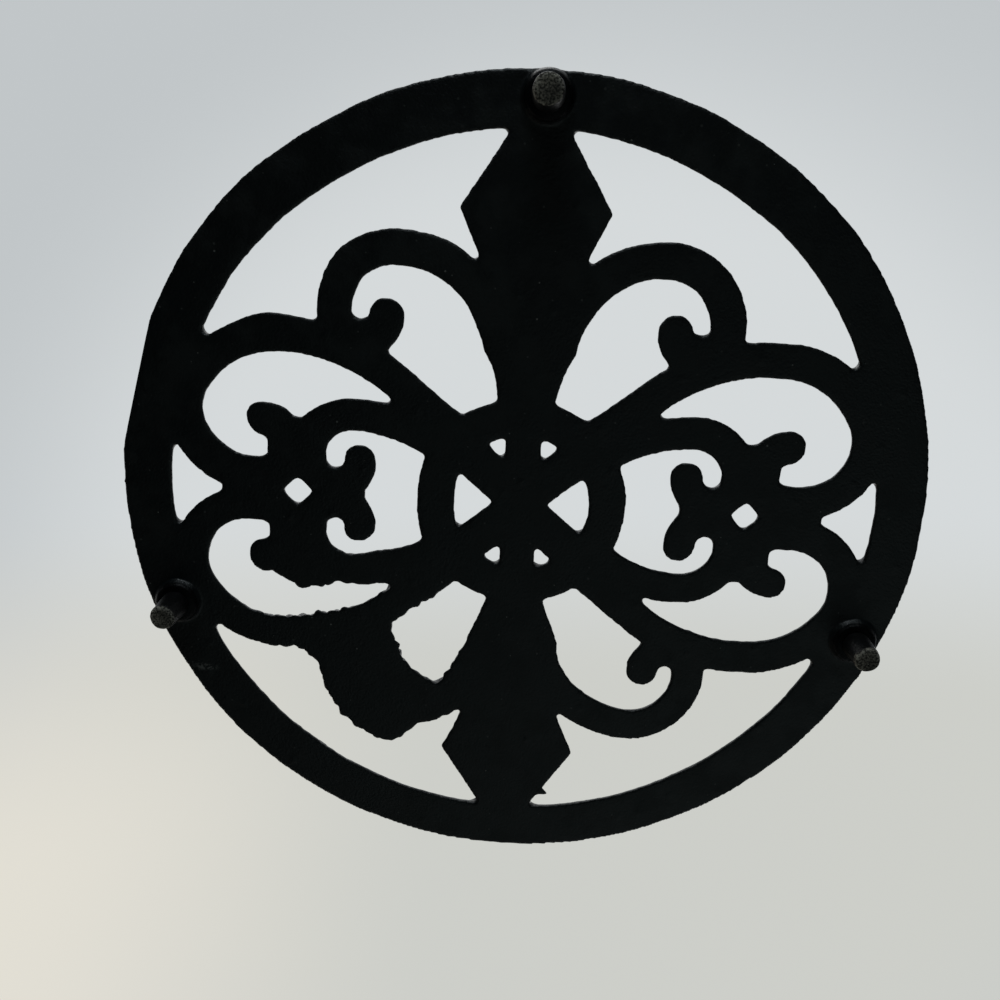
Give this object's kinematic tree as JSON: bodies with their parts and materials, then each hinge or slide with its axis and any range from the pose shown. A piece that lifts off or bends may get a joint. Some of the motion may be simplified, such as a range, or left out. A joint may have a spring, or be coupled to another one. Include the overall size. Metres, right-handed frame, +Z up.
{
  "type": "trivet",
  "caption": "Round openwork cast-iron trivet with scrolls, spears and a ringed hub, standing on capped peg feet to hold hot cookware off a table.",
  "frame": {"origin": "on the table plane under the feet, below the middle of the rim", "axes": "+Z up out of the table, +Y along the spears towards the single back foot, +X to the right seen from above"},
  "size_m": [0.2, 0.2003, 0.0165],
  "materials": {
    "black_iron": "satin black paint on a rough sand casting",
    "cap_rubber": "worn matte black rubber"
  },
  "bodies": {
    "root": {"openwork_casting": "black_iron", "foot_cap_back": "cap_rubber", "foot_cap_left": "cap_rubber", "foot_cap_right": "cap_rubber"}
  },
  "joints": []
}
